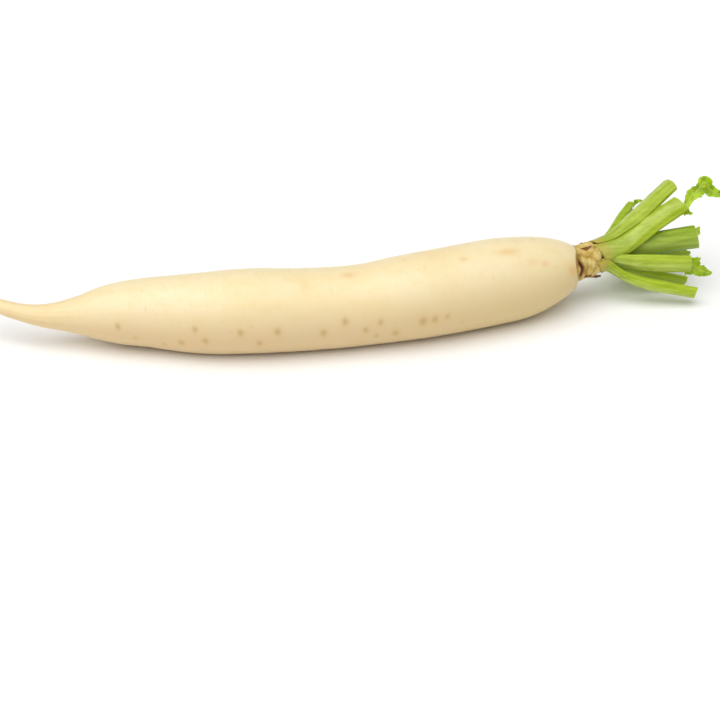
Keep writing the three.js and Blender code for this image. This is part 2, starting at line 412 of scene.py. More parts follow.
def root_marks(along, around, radius, settings):
    """(relief in mm, scar, blotch) at each vertex. A scar is a shallow pit, wider round the root than
    along it, with a raised lip and a tan halo. A blotch is only a stain."""
    relief = np.zeros_like(along)
    scar = np.zeros_like(along)
    blotch = np.zeros_like(along)
    common = settings.scar_size / MM
    depth = settings.scar_depth / MM
    for at, angle, size in root_scars(settings):
        near = spot(along, around, radius, at, angle, common * 0.36 * size, common * 0.5 * size)
        relief -= depth * size * bell(near)
        relief += depth * 0.25 * size * bell(near - 1.7, 0.5)
        scar = np.maximum(scar, min(size, 1.0) * bell(near * 0.72))
        blotch = np.maximum(blotch, 0.26 * min(size, 1.0) * bell(near * 0.34))
    for at, angle, long, broad, strength in BLOTCHES:
        near = spot(along, around, radius, at, angle, long, broad)
        blotch = np.maximum(blotch, strength * bell(near))
    return relief, scar, blotch


def crown_relief(along, around, points):
    """Relief in mm of the crown: knobs and the overlapping scars of shed leaves, with fine fibres."""
    relief = np.full_like(along, -0.3)
    draw = random.Random(KNOB_SEED)
    for at in KNOB_RINGS:
        for i in range(KNOBS_IN_RING):
            angle = 360 / KNOBS_IN_RING * i + draw.uniform(-22, 22)
            long, broad = draw.uniform(2.2, 4), draw.uniform(3, 6)
            near = spot(along, around, CROWN_RADIUS, at + draw.uniform(-1.5, 1.5), angle, long, broad)
            relief = np.maximum(relief, draw.uniform(0.5, 1.1) * (1 - near**2))
    relief += 0.45 * noise_at(points, 4.2, 3.1) + 0.3 * noise_at(points, 1.6, 7.7)
    angle = np.radians(around)
    fibres = columns(along / 7, np.cos(angle) * 9, np.sin(angle) * 9)
    return relief + 0.2 * noise_at(fibres, 1.0, 5.5)


def crown_edge(around):
    """Where the crown starts, forward from the shoulder's end, with a slight wave."""
    front = near_angle(around, *CROWN_EDGE_FRONT)
    return CROWN_EDGE - CROWN_EDGE_SWEEP * front + 0.8 * np.sin(np.radians(5 * around))


def root_shape(settings):
    """The root's skin: smooth body, wrinkled crown, thin tail, with its relief and its marks."""
    # Rings of the tail, body, shoulder and crown. The last two have the finest relief and closest rings.
    rings = np.cumsum([0, 100, 290, 60, 110])
    stations = [TAIL_TIP, -365, -22, -0.5, CROWN_LENGTH]

    def shape(u, v):
        along = np.interp(v * rings[-1], rings, stations)
        around = 360 * u
        angle = 2 * math.pi * u
        share = (along - TAIL_TIP) / ROOT_COURSE.length
        edge = crown_edge(around)
        radius = root_radius(along)
        neck = np.minimum(radius, NECK_RADIUS - NECK_TAPER * np.minimum(along, 0))
        radius = blend(radius, neck, smooth(along, edge, edge + 2.2))
        middle = ROOT_COURSE.place(share)
        forward = ROOT_COURSE.forward(share)
        side = unit(np.cross(forward, UP))
        lift = np.cross(side, forward)
        out = side * np.sin(angle)[:, None] + lift * np.cos(angle)[:, None]
        points = middle + out * radius[:, None]

        crown = smooth(along - edge, -0.3, 0.9)
        tail = 1 - smooth(along, -405, -345)
        body = (1 - crown) * (1 - tail)
        thick = np.clip(radius / 32, 0, 1)
        relief, scar, blotch = root_marks(along, around, radius, settings)
        relief *= body + 0.5 * tail
        lumps = noise_at(points, 70, 1.3) + 0.4 * noise_at(points, 24, 2.9)
        relief += settings.lump_height / MM * lumps * thick
        banded = columns(along / 5, np.cos(angle) * 1.6, np.sin(angle) * 1.6)
        creases = noise_at(banded, 1.0, 4.4)
        relief -= settings.crease_depth / MM * smooth(creases, 0.25, 0.75) * (body + tail)
        furrows = columns(along / 60, np.cos(angle) * 4.5, np.sin(angle) * 4.5)
        shoulder = smooth(along, -34, -3) * (1 - crown)
        relief += 0.42 * shoulder * noise_at(furrows, 1.0, 8.1)
        relief += 0.035 * radius * tail * noise_at(furrows, 1.0, 9.4)
        rough = crown_relief(along, around, points)
        fade = smooth(CROWN_LENGTH - along, 0, 5)
        relief += crown * rough * settings.crown_roughness * fade

        past = along - edge
        front = near_angle(around, *RUST_FRONT)
        top = near_angle(around, *RUST_TOP)
        cracks = bell(past - CRACK_AHEAD, CRACK_BREADTH)
        rust = cracks * np.clip(0.1 + 0.8 * front + 0.3 * top + 0.5 * noise_at(banded, 0.7, 2.2), 0, 1)
        bow_of_streak = STREAK_BOW * near_angle(around, *STREAK_BOW_AT)
        from_streak = past - STREAK_AHEAD - bow_of_streak + 0.8 * noise_at(banded, 0.8, 3.9)
        rust = np.maximum(rust, np.clip(1.7 * front * bell(from_streak, STREAK_BREADTH), 0, 1))
        relief -= RUST_DEPTH * rust

        points = points + out * (relief * smooth(radius, 0, 2.5))[:, None]
        points[:, 2] = np.maximum(points[:, 2], 0)
        # How near the crown the greenish tint reaches. The material puts most of it low on the sides, as
        # painted shade.
        neckward = smooth(along, -210, -5)
        mark = columns(scar * body, blotch * (body + tail), rust, neckward)
        height = smooth(rough, -1.3, 1.5)
        # Painted shade: how low on the root's sides each vertex lies, which darkens and warms the skin
        # there.
        painted_belly_shade = smooth(-np.cos(angle), -0.95, 0.35)
        zone = columns(crown, tail, height, painted_belly_shade)
        return points, {"marks": mark, "zones": zone}

    return shape, int(rings[-1])


# ---------------- leaf stalks


def stalk_course(stalk):
    """A stalk leaves the crown at its start angle, bends to its spread round an arc, then runs straight.
    Gives the place, directions and sizes for distances in mm from its base, negative on its sheath."""
    whorl, around, leave, spread, length, tip, body, clasp, clasp_half, sheath_end, _ = stalk
    ring, seat = WHORLS[whorl]
    reach = SHEATH_REACH[whorl]
    hug = float(root_radius(np.array([seat - reach]))[0]) + 0.2
    end = math.radians(spread)
    start = math.radians(leave)
    bend = length * STALK_BEND_SHARE
    bend_radius = bend / (end - start)

    def frame_at(along):
        along = np.atleast_1d(np.asarray(along, float))
        stalk_share = smooth(along, -reach, sheath_end)
        outward = outward_at(blend(clasp, around, smooth(along, -reach, 1.5 * sheath_end)))
        lean = start + (end - start) * np.clip(along / bend, 0, 1)
        beyond = np.maximum(along - bend, 0)
        behind = np.minimum(along, 0)
        out = ring + bend_radius * (math.cos(start) - np.cos(lean)) + beyond * np.sin(lean)
        out = blend(hug, out, smooth(along, -reach, 0.8 * sheath_end))
        ahead = bend_radius * (np.sin(lean) - math.sin(start)) + beyond * np.cos(lean)
        ahead = ahead + behind + seat - CROWN_LENGTH
        lean = (lean * smooth(along, -reach, 4))[:, None]
        forward = CROWN_FORWARD * np.cos(lean) + outward * np.sin(lean)
        across = np.cross(outward, CROWN_FORWARD)
        stalk_half = blend(body, tip, smooth(along / STALK_FULL_WIDTH_AT)) / 2
        full = smooth(along / STALK_FULL_THICKNESS_AT)
        stalk_thick = blend(STALK_BASE_THICKNESS, STALK_TIP_THICKNESS, full)
        return {
            "place": CROWN_END + outward * out[:, None] + CROWN_FORWARD * ahead[:, None],
            "forward": forward,
            "across": across,
            "outward": np.cross(forward, across),
            "half_width": blend(clasp_half, stalk_half, stalk_share),
            "thickness": blend(SHEATH_THICKNESS, stalk_thick, smooth(along, -reach, 8)),
            "wrap": np.maximum(out, 4),
            "sheath": 1 - smooth(along, -reach, 11),
        }

    return frame_at


def stalk_shape(stalk, settings, index):
    """A stalk's skin, from its sheath on the crown to its cut end: ribbed, channelled, bevelled at the
    cut, with the pith sunk inside it."""
    draw = random.Random(settings.seed + 31 * index)
    whorl, length, green = stalk[0], stalk[4], stalk[-1]
    frame_at = stalk_course(stalk)
    ribs = settings.ribs
    phase = draw.uniform(0, 2 * math.pi)
    cut_tilt = math.tan(math.radians(draw.uniform(-12, 12)))
    cut_lean = math.tan(math.radians(draw.uniform(-18, 18)))
    sway = draw.uniform(-1.0, 1.0)
    bow = draw.uniform(-0.8, 0.8)
    twist = math.radians(draw.uniform(-9, 9))
    rings = {"root": 3, "side": 100, "rim": 3, "cut": 9}
    knots = np.cumsum([0, rings["root"], rings["side"], rings["rim"], rings["cut"]])
    sunk = -SHEATH_REACH[whorl]
    bevel = settings.cut_bevel / MM

    def shape(u, v):
        step = v * knots[-1]
        reach = [sunk, sunk, length - bevel, length, length]
        along = np.interp(step, knots, reach)
        scale = np.interp(step, knots, [0, 1, 1, 0.94, 0])
        bent = smooth((step - knots[2]) / rings["rim"])
        turn = 2 * math.pi * u
        side = np.cos(turn)
        round_out = np.sin(turn)
        at = frame_at(along)
        sheath = at["sheath"]
        free = smooth(along / length)
        half_width = at["half_width"] + 0.3 * np.sin(along / 9 + phase) * free
        thickness = at["thickness"]
        outer = np.abs(round_out) ** 0.86
        channel = CHANNEL_DEPTH * bell(side, CHANNEL_SPREAD) * np.abs(round_out) * (1 - sheath)
        inner = channel - INNER_SWELL * np.abs(round_out) ** 0.6
        depth = np.where(round_out >= 0, outer, inner)
        drift = 1.3 * noise_at(columns(side * 2.2, round_out * 2.2, along / 30), 1.0, 5.0 + index)
        crest = 0.5 + 0.5 * np.cos(2 * ribs * turn + phase + drift)
        fibre = columns(along / 14, side * 5, round_out * 5)
        strand = noise_at(fibre, 1.0, 3.0 + index)
        back = smooth(round_out, -0.2, 0.35)
        rib = settings.rib_height / MM * ((crest**1.4 - 0.5) * blend(0.35, 1.0, back) + 0.5 * strand)
        rib = rib * (1 - 0.75 * sheath)
        frayed = 0.9 * noise_at(columns(side * 3, side * 0, side * 0 + index), 1.0, 6.0)
        middle = 0.45 * thickness
        x = side * (half_width + rib) * scale
        y = middle + (depth * (thickness + rib) - middle) * scale
        turned = twist * free
        raised = y - middle
        y = middle + x * np.sin(turned) + raised * np.cos(turned)
        x = x * np.cos(turned) - raised * np.sin(turned)
        arch = np.sin(math.pi * np.clip(along / length, 0, 1))
        wrap = at["wrap"]
        lateral = wrap * np.sin(x / wrap) + y * np.sin(x / wrap) + sway * arch
        wrapped = (wrap + y) * np.cos(x / wrap) - wrap + bow * arch
        near_cut = smooth(along / length, 0.82, 1.0)
        slant = near_cut * (x * cut_tilt + (y - middle) * cut_lean)
        pith = settings.pith_sink / MM * smooth(1 - scale, 0.05, 0.8) * bent
        grain = 0.12 * noise_at(columns(x, y, along * 0), 0.9, 11.0 + index) * bent
        sheath_edge = frayed - SHEATH_EDGE_SLOPE * x
        forward_by = slant - pith + grain + sheath_edge * smooth(-along, 0, -sunk)
        place = at["place"] + at["across"] * lateral[:, None] + at["outward"] * wrapped[:, None]
        place = place + at["forward"] * forward_by[:, None]
        place[:, 2] = np.maximum(place[:, 2], 0.3)
        bundle_ring = bell(scale - 0.66, 0.12)
        bundles = bundle_ring * smooth(np.cos((2 * ribs - 1) * turn + phase), 0.35, 0.9) * bent
        look = columns(np.clip(along / length, 0, 1), crest * (1 - bent), bent, bundles)
        straw = smooth(sheath, 0.05, 0.95) * (1.0 if whorl == "outer" else 0.7)
        # Partly a painted highlight: a broad pale band down the middle of the stalk's back.
        pale_band_and_highlight = bell(side, 0.5) * back * (1 - bent)
        tone = columns(np.full_like(u, green), straw, pale_band_and_highlight, np.ones_like(u))
        return place, {"look": look, "tone": tone}

    return shape, int(knots[-1])


# ---------------- leaf blades and dried bases


def blade_shape(blade, settings, index):
    """A scrap of blade's skin: a lobed, ruffled sheet round a midrib that starts on its stalk's cut."""
    stalk, width, widest, ruffle, lobes, turned, course = blade
    turned = math.radians(turned)
    length = LEAF_STALKS[stalk - 1][4]
    end = {key: value[0] for key, value in stalk_course(LEAF_STALKS[stalk - 1])(length).items()}
    first = np.array(course[0], float)
    root = first - unit(np.array(course[1], float) - first) * settings.blade_overlap / MM
    midrib = Course([root + end["place"], *(np.array(point) + end["place"] for point in course)])
    swell = math.log(0.5) / math.log(widest)
    phase = 1.7 * index

    def shape(u, v):
        t = v
        turn = 2 * math.pi * u
        side = np.cos(turn)
        forward = midrib.forward(t)
        flat = unit(np.cross(end["outward"], forward))
        face = np.cross(forward, flat)
        lean = (turned * smooth(t, 0, 0.4) * (1 - 0.5 * smooth(t, 0.6, 1)))[:, None]
        across = flat * np.cos(lean) + face * np.sin(lean)
        outward = face * np.cos(lean) - flat * np.sin(lean)
        broad = np.sin(math.pi * np.clip(t, 0, 1) ** swell)
        lobed = 0.78 + 0.22 * np.cos(2 * math.pi * lobes * t + phase + 0.8 * np.sign(side))
        teeth = 1 + 0.09 * np.sin(2 * math.pi * lobes * 4.3 * t + side * 2)
        half_width = width / 2 * blend(0.16, 1.0, broad) * blend(1, lobed * teeth, broad)
        x = side * half_width
        edge = np.abs(side) ** 2.2 * broad
        wave = np.sin(2 * math.pi * (lobes + 1.5) * t + 2.2 * np.sign(side) + phase)
        y = ruffle * edge * wave + 0.16 * width * np.abs(side) ** 1.4 * broad
        vein_gap = np.abs((t * lobes * 2.2 - np.abs(side) * 0.7 + phase) % 1 - 0.5) * 2
        vein = smooth(vein_gap, 0.72, 0.98) * broad
        rib = bell(side, 0.13)
        sheet = settings.blade_thickness / MM * (0.5 + 0.35 * vein) + 0.55 * rib * (1 - 0.6 * t)
        ends = np.sqrt(np.clip(np.minimum(t, 1 - t) / 0.02, 0, 1))
        y = y + np.sin(turn) * sheet * ends
        wrinkle = 0.22 * noise_at(columns(x, t * 40, x * 0), 3.0, 2.0 + index) * broad
        place = midrib.place(t) + across * (x * ends)[:, None] + outward * (y + wrinkle)[:, None]
        look = columns(np.maximum(vein * 0.7, rib), np.abs(side), t * 0, np.ones_like(t))
        return place, {"look": look}

    return shape


def dry_base_shape(base, settings, index):
    """A dried base's skin: a narrow, ragged, curling sheet that hugs the crown."""
    around, width, length = base
    outward = outward_at(around)
    across = np.cross(outward, CROWN_FORWARD)

    def shape(u, v):
        t = v
        turn = 2 * math.pi * u
        side = np.cos(turn)
        out = DRY_BASE_RING - 0.9 + 1.9 * t * t
        ragged = noise_at(columns(side * 3.5, t * 0, t * 0 + index), 1.0, 4.0)
        reach = -2.0 + t * (length + 2) * (1 + 0.28 * ragged * t)
        half_width = width / 2 * (1 - 0.62 * t) * (1 + 0.12 * np.sin(9 * t + index))
        x = side * half_width
        fibre = noise_at(columns(side * 7, t * 1.2, t * 0 + index), 1.0, 9.0)
        curl = 0.9 * np.abs(side) ** 2 * t * math.sin(index * 2.4 + 1)
        sheet = settings.dry_thickness / MM * 0.5 * (1 + 0.5 * fibre)
        ends = np.sqrt(np.clip(np.minimum(t, 1 - t) / 0.04, 0, 1))
        y = out + curl + 0.35 * fibre + np.sin(turn) * sheet * ends - x * x / (2 * DRY_BASE_RING)
        ahead = DRY_BASE_SEAT - CROWN_LENGTH + reach
        place = CROWN_END + y[:, None] * outward + ahead[:, None] * CROWN_FORWARD
        place = place + (x * blend(0.3, 1, ends))[:, None] * across
        look = columns(0.5 + 0.5 * fibre, t * 0, t * 0, np.ones_like(t))
        return place, {"look": look}

    return shape


# ---------------- materials


def new_material(name):
    """A new material and its empty node tree."""
    material = bpy.data.materials.new(name)
    material.use_nodes = True
    tree = material.node_tree
    tree.nodes.clear()
    return material, tree


def add_node(tree, kind, inputs=None, **settings):
    """Adds a node, with its settings, its values and its links from other nodes' sockets."""
    node = tree.nodes.new(kind)
    for name, value in settings.items():
        setattr(node, name, value)
    for name, value in (inputs or {}).items():
        if isinstance(value, bpy.types.NodeSocket):
            tree.links.new(value, node.inputs[name])
        else:
            node.inputs[name].default_value = value
    return node


def mixed(tree, factor, first, second):
    """A colour between two colours."""
    inputs = {"Factor": factor, 6: first, 7: second}
    return add_node(tree, "ShaderNodeMix", inputs, data_type="RGBA").outputs[2]


def ramp(tree, value, stops):
    """A colour or grey ramp: (place, colour) stops."""
    node = add_node(tree, "ShaderNodeValToRGB", {"Fac": value})
    elements = node.color_ramp.elements
    while len(elements) < len(stops):
        elements.new(0.5)
    for element, (place, colour) in zip(elements, stops):
        element.position = place
        element.color = colour
    return node.outputs["Color"]


def channels(tree, name):
    """The red, green and blue of a vertex attribute, and its alpha."""
    attribute = add_node(tree, "ShaderNodeAttribute", attribute_name=name)
    parts = add_node(tree, "ShaderNodeSeparateColor", {"Color": attribute.outputs["Color"]})
    return parts.outputs["Red"], parts.outputs["Green"], parts.outputs["Blue"], attribute.outputs["Alpha"]


def calculate(tree, operation, first, second=0.0, third=0.0):
    inputs = {0: first, 1: second, 2: third}
    return add_node(tree, "ShaderNodeMath", inputs, operation=operation).outputs[0]


def times(tree, first, second):
    return calculate(tree, "MULTIPLY", first, second)


def pattern(tree, place, size_mm, stretch=(1, 1, 1), detail=2.0):
    """Noise on a place socket, with features of about size_mm, stretched along its axes."""
    scale = tuple(1 / (size_mm * MM * s) for s in stretch)
    mapping = add_node(tree, "ShaderNodeMapping", {"Vector": place, "Scale": scale})
    inputs = {"Vector": mapping.outputs["Vector"], "Scale": 1.0, "Detail": detail, "Roughness": 0.55}
    return add_node(tree, "ShaderNodeTexNoise", inputs).outputs["Fac"]


def grey(value):
    return (value, value, value, 1.0)


def threshold(tree, value, low, high):
    """0 below low, 1 above high, and even between them."""
    return ramp(tree, value, [(low, grey(0)), (high, grey(1))])


def bumped(tree, height, strength, depth_mm):
    """A normal with a fine relief of that depth."""
    inputs = {"Strength": strength, "Distance": depth_mm * MM, "Height": height}
    return add_node(tree, "ShaderNodeBump", inputs).outputs["Normal"]


def add_surface(tree, inputs):
    """Adds the shader, linked to the material's output."""
    shader = add_node(tree, "ShaderNodeBsdfPrincipled", inputs)
    add_node(tree, "ShaderNodeOutputMaterial", {"Surface": shader.outputs[0]})


def waxy_skin(settings):
    """Washed daikon skin: a thin, moist, waxy rind over white flesh. Light goes a few millimetres into
    it, so shaded sides stay warm and soft, with a broad satin gloss and a faint pebbled grain. Low on
    its sides the colour also holds painted shade, darker and warmer."""
    material, tree = new_material("washed_daikon_skin")
    place = add_node(tree, "ShaderNodeTexCoord").outputs["Object"]
    scar, blotch, rust, shoulder = channels(tree, "marks")
    crown, tail, height, painted_belly_shade = channels(tree, "zones")

    # Soft clouds and mottling in the rind, and faint bands 1 to 2 mm wide that run round the root.
    cloud = pattern(tree, place, 38, (1.6, 1, 1))
    cream = ramp(tree, cloud, [(0.32, settings.cream), (0.7, settings.cream_deep)])
    mottle = threshold(tree, pattern(tree, place, 7, detail=3), 0.5, 0.78)
    cream = mixed(tree, times(tree, mottle, 0.35), cream, settings.mottle)
    band = threshold(tree, pattern(tree, place, 2.4, (0.55, 5, 5)), 0.52, 0.74)
    cream = mixed(tree, times(tree, band, 0.18), cream, settings.mottle)
    # Painted shade: the skin is darker and warmer the lower it lies on the root's sides.
    cream = mixed(tree, painted_belly_shade, cream, settings.painted_belly_shade)
    cream = mixed(tree, times(tree, tail, 0.55), cream, settings.tail)
    # Greenish near the crown: faint all round, and strongest low on the sides, where most of it is painted
    # shade.
    shoulder_green_and_shade = times(tree, shoulder, calculate(tree, "MULTIPLY_ADD", painted_belly_shade, 0.5, 0.04))
    cream = mixed(tree, shoulder_green_and_shade, cream, settings.shoulder)
    cream = mixed(tree, times(tree, blotch, 0.6), cream, settings.blotch)
    cream = mixed(tree, times(tree, scar, 0.6), cream, settings.scar)

    # The crown's corky skin is darkest in its hollows, with brown stains about 4 mm across.
    bark = ramp(tree, height, [
        (0.1, to_linear("A07A2E")), (0.35, to_linear("BF9F50")), (0.6, to_linear("CFB564")),
        (0.9, to_linear("DCC886")),
    ])
    stain = threshold(tree, pattern(tree, place, 4, detail=3), 0.55, 0.72)
    bark = mixed(tree, times(tree, stain, 0.45), bark, to_linear("B07A34"))
    colour = mixed(tree, crown, cream, bark)
    colour = mixed(tree, rust, colour, to_linear("5A2506"))

    # Shallow dimples are 2 to 4 mm across. A real rind's grain is about 0.3 mm, and is drawn at 1.1 mm,
    # so that it shows.
    grain = pattern(tree, place, 1.1)
    pores = pattern(tree, place, 3.2, (0.6, 1.4, 1.4))
    relief = calculate(tree, "ADD", times(tree, grain, 0.4), pores)
    rough = calculate(tree, "ADD", times(tree, crown, 0.3), times(tree, scar, 0.2))
    rough = calculate(tree, "ADD", rough, times(tree, mottle, 0.08))
    rough = calculate(tree, "ADD", rough, 0.36)
    add_surface(tree, {
        "Base Color": colour, "Roughness": rough, "IOR": 1.4, "Normal": bumped(tree, relief, 0.35, 0.25),
        "Subsurface Weight": 0.3, "Subsurface Radius": (1.0, 0.62, 0.3), "Subsurface Scale": 6 * MM,
    })
    return material


def fresh_stalk(settings):
    """Fresh leaf stalk: crisp, moist and ribbed, pale on its ribs and green between them. Light shines
    some way into it, and it fades to straw where it sheathes the crown."""
    material, tree = new_material("fresh_leaf_stalk")
    place = add_node(tree, "ShaderNodeTexCoord").outputs["Object"]
    along, crest, cut, bundle = channels(tree, "look")
    green, sheath, band, _ = channels(tree, "tone")

    # Pale ribs and streaks over green grooves, with a pale band down the back that is partly pale ribs and
    # partly a painted highlight.
    deep = mixed(tree, green, settings.groove_pale, settings.groove_deep)
    pale = mixed(tree, green, settings.rib_pale, settings.rib_deep)
    streak = threshold(tree, pattern(tree, place, 3.6, (7, 1, 1)), 0.34, 0.64)
    lift = calculate(tree, "MULTIPLY_ADD", crest, 0.4, times(tree, streak, 0.6))
    colour = mixed(tree, lift, deep, pale)
    band = times(tree, band, calculate(tree, "MULTIPLY_ADD", streak, 0.4, 0.2))
    colour = mixed(tree, band, colour, settings.pale_band_and_highlight)
    colour = mixed(tree, times(tree, along, 0.25), colour, settings.tip_green)
    # Painted shade: the greener stalks darken towards their bases, deep between the others, where shade
    # falls.
    inside = ramp(tree, along, [(0.08, grey(1)), (0.4, grey(0))])
    inside = times(tree, inside, times(tree, green, 0.55))
    colour = mixed(tree, inside, colour, settings.painted_heart_shade)
    colour = mixed(tree, times(tree, sheath, 0.85), colour, settings.sheath_straw)

    # Brown flecks about 1.6 mm across, most of them on the sheath.
    fleck = threshold(tree, pattern(tree, place, 1.6, (2, 1, 1), 3), 0.62, 0.72)
    fleck = times(tree, fleck, calculate(tree, "ADD", times(tree, sheath, 0.5), 0.08))
    colour = mixed(tree, fleck, colour, to_linear("8A6A2A"))
    flesh = mixed(tree, bundle, settings.pith, to_linear("7FA035"))
    colour = mixed(tree, cut, colour, flesh)

    # Real fibres are about 0.2 mm wide. They are drawn at 0.6 mm, so that they show.
    fibres = pattern(tree, place, 0.6, (14, 1, 1))
    rough = calculate(tree, "ADD", times(tree, cut, 0.15), 0.34)
    add_surface(tree, {
        "Base Color": colour, "Roughness": rough, "IOR": 1.4, "Normal": bumped(tree, fibres, 0.3, 0.2),
        "Specular IOR Level": 0.35, "Subsurface Weight": 0.35, "Subsurface Radius": (0.55, 1.0, 0.18),
        "Subsurface Scale": 3 * MM,
    })
    return material


def leaf_blade(settings):
    """Leaf blade: thin, soft and slightly hairy, so matt, with paler veins. Light comes through it."""
    material, tree = new_material("radish_leaf_blade")
    place = add_node(tree, "ShaderNodeTexCoord").outputs["Object"]
    vein, edge, _, _ = channels(tree, "look")
    patch = pattern(tree, place, 5, detail=3)
    colour = ramp(tree, patch, [(0.3, settings.leaf_deep), (0.7, settings.leaf_bright)])
    colour = mixed(tree, times(tree, vein, 0.6), colour, settings.leaf_vein)
    dry_edge = times(tree, calculate(tree, "POWER", edge, 12.0), 0.35)
    colour = mixed(tree, dry_edge, colour, to_linear("A8A23C"))

    # Real leaf hairs are about 0.1 mm thick. They are drawn as a grain of 0.7 mm, so that they show.
    hair = pattern(tree, place, 0.7)
    add_surface(tree, {
        "Base Color": colour, "Roughness": 0.5, "IOR": 1.4, "Normal": bumped(tree, hair, 0.4, 0.2),
        "Subsurface Weight": 0.5, "Subsurface Radius": (0.5, 1.0, 0.15), "Subsurface Scale": 1.2 * MM,
    })
    return material


def dried_leaf(settings):
    """Dried leaf base: brown, papery and fibrous, without gloss."""
    material, tree = new_material("dried_leaf_base")
    place = add_node(tree, "ShaderNodeTexCoord").outputs["Object"]
    fibre, _, _, _ = channels(tree, "look")
    patch = pattern(tree, place, 3, (3, 1, 1), 3)
    shade = calculate(tree, "ADD", times(tree, patch, 0.6), times(tree, fibre, 0.4))
    colour = ramp(tree, shade, [
        (0.28, to_linear("3A1A06")), (0.5, settings.dry_brown), (0.75, settings.dry_straw),
    ])

    # Real dried fibres are about 0.15 mm wide. They are drawn at 0.5 mm, so that they show.
    fibres = pattern(tree, place, 0.5, (10, 1, 1))
    normal = bumped(tree, fibres, 0.6, 0.3)
    add_surface(tree, {"Base Color": colour, "Roughness": 0.85, "Normal": normal})
    return material


def studio_sweep(colour):
    """Matt white studio paper."""
    material, tree = new_material("white_studio_paper")
    add_surface(tree, {"Base Color": colour, "Roughness": 0.9})
    return material


# ---------------- settings


def length_setting(name, description, default):
    return FloatProperty(name=name, description=description, default=default, unit="LENGTH", precision=5)


def angle_setting(name, description, degrees):
    turn = math.radians(degrees)
    return FloatProperty(name=name, description=description, default=turn, unit="ROTATION")


def colour_setting(name, description, default):
    return FloatVectorProperty(
        name=name, description=description, default=to_linear(default), size=4, subtype="COLOR", min=0, max=1
    )


class RadishRootSettings(bpy.types.PropertyGroup):
    """The root, its tail and its crown"""

    seed: IntProperty(name="Seed", description="Start of the random places of scars and pores", default=7)
    pores: IntProperty(name="Pores", description="Small pores all over the root", default=60, min=0)
    scar_size: length_setting("Scar Size", "Breadth of a common side root scar", 0.0038)
    scar_depth: length_setting("Scar Depth", "Depth of a common side root scar", 0.0004)
    lump_height: length_setting("Lump Height", "Height of the root's broad unevenness", 0.0008)
    crease_depth: length_setting("Crease Depth", "Depth of the faint creases across the root", 0.00014)
    crown_roughness: FloatProperty(
        name="Crown Roughness", description="How rough the crown is", default=1.0, min=0, max=2
    )
    cream: colour_setting("Cream", "Skin where it is palest", "F6E6BE")
    cream_deep: colour_setting("Deep Cream", "Skin where it is deepest", "F3DEAA")
    mottle: colour_setting("Mottle", "Faint bands and mottling in the skin", "EDD08E")
    # Painted shade: the darker, warmer skin low on the root's sides.
    painted_belly_shade: colour_setting("Belly", "Skin low on the root's sides", "DFC597")
    tail: colour_setting("Tail", "Skin of the tail", "EBD3A0")
    # Mostly painted shade: the greenish skin near the crown is strongest low on the root's sides.
    shoulder: colour_setting("Shoulder", "Greenish skin near the crown", "D8C488")
    blotch: colour_setting("Blotch", "Tan blotches", "E2B466")
    scar: colour_setting("Scar", "Side root scars", "BC9D5C")


class RadishStalkSettings(bpy.types.PropertyGroup):
    """The cut leaf stalks"""

    seed: IntProperty(name="Seed", description="Start of the random bends and cuts", default=11)
    ribs: IntProperty(name="Ribs", description="Ribs on half of a stalk", default=5, min=3, max=12)
    rib_height: length_setting("Rib Height", "Height of a stalk's ribs", 0.0004)
    cut_bevel: length_setting("Cut Edge", "Rounding of the cut edge", 0.0004)
    pith_sink: length_setting("Pith Sink", "How far the pith has shrunk into the cut", 0.0006)
    rib_pale: colour_setting("Pale Rib", "Ribs of the palest stalks", "BCCB40")
    rib_deep: colour_setting("Deep Rib", "Ribs of the greenest stalks", "9EB824")
    groove_pale: colour_setting("Pale Groove", "Between the ribs of the palest stalks", "9CB11C")
    groove_deep: colour_setting("Deep Groove", "Between the ribs of the greenest stalks", "769408")
    tip_green: colour_setting("Tip Green", "Stalks towards their cut ends", "9AB61A")
    # Partly a painted highlight: the broad pale band down a stalk's back.
    pale_band_and_highlight: colour_setting("Pale Band", "Broad pale band down a stalk's back", "CBD880")
    # Painted shade deep between the stalks, near their bases.
    painted_heart_shade: colour_setting("Heart Green", "Inner stalks deep between the others", "4C6A08")
    sheath_straw: colour_setting("Straw", "Stalks where they sheathe the crown", "BCA850")
    pith: colour_setting("Pith", "Flesh on the cut ends", "E3EDB4")


class RadishLeafSettings(bpy.types.PropertyGroup):
    """Leaf scraps and dried leaf bases"""

    blade_thickness: length_setting("Blade Thickness", "Thickness of a leaf blade", 0.0005)
    blade_overlap: length_setting("Blade Overlap", "How far a blade reaches back onto its stalk", 0.005)
    dry_thickness: length_setting("Dry Thickness", "Thickness of a dried leaf base", 0.0007)
    leaf_bright: colour_setting("Bright Leaf", "Leaf blade where light shows through", "BACF10")
    leaf_deep: colour_setting("Deep Leaf", "Leaf blade at its darkest", "7C9C0A")
    leaf_vein: colour_setting("Leaf Vein", "Veins and midrib", "C6D660")
    dry_brown: colour_setting("Dry Brown", "Dried leaf bases", "8A5424")
    dry_straw: colour_setting("Dry Straw", "Palest fibres of the dried bases", "CDA564")


class RadishStageSettings(bpy.types.PropertyGroup):
    """The stage, its lights and its camera"""

    floor: colour_setting("Floor", "Studio paper", "FBFBFB")
    ambient: FloatProperty(name="Ambient", description="Light from all round", default=0.4, min=0)
    key: FloatProperty(name="Key", description="Light from the overhead diffuser", default=2.35, min=0)
    distance: length_setting("Distance", "From the camera to the place that it looks at", 0.952)
    azimuth: angle_setting("Azimuth", "Camera's turn round the object", -10.19)
    elevation: angle_setting("Elevation", "Camera's height above the horizon", 33)
    lens: FloatProperty(name="Lens", description="Focal length on a 36 mm sensor", default=70, unit="CAMERA")


# ---------------- operators


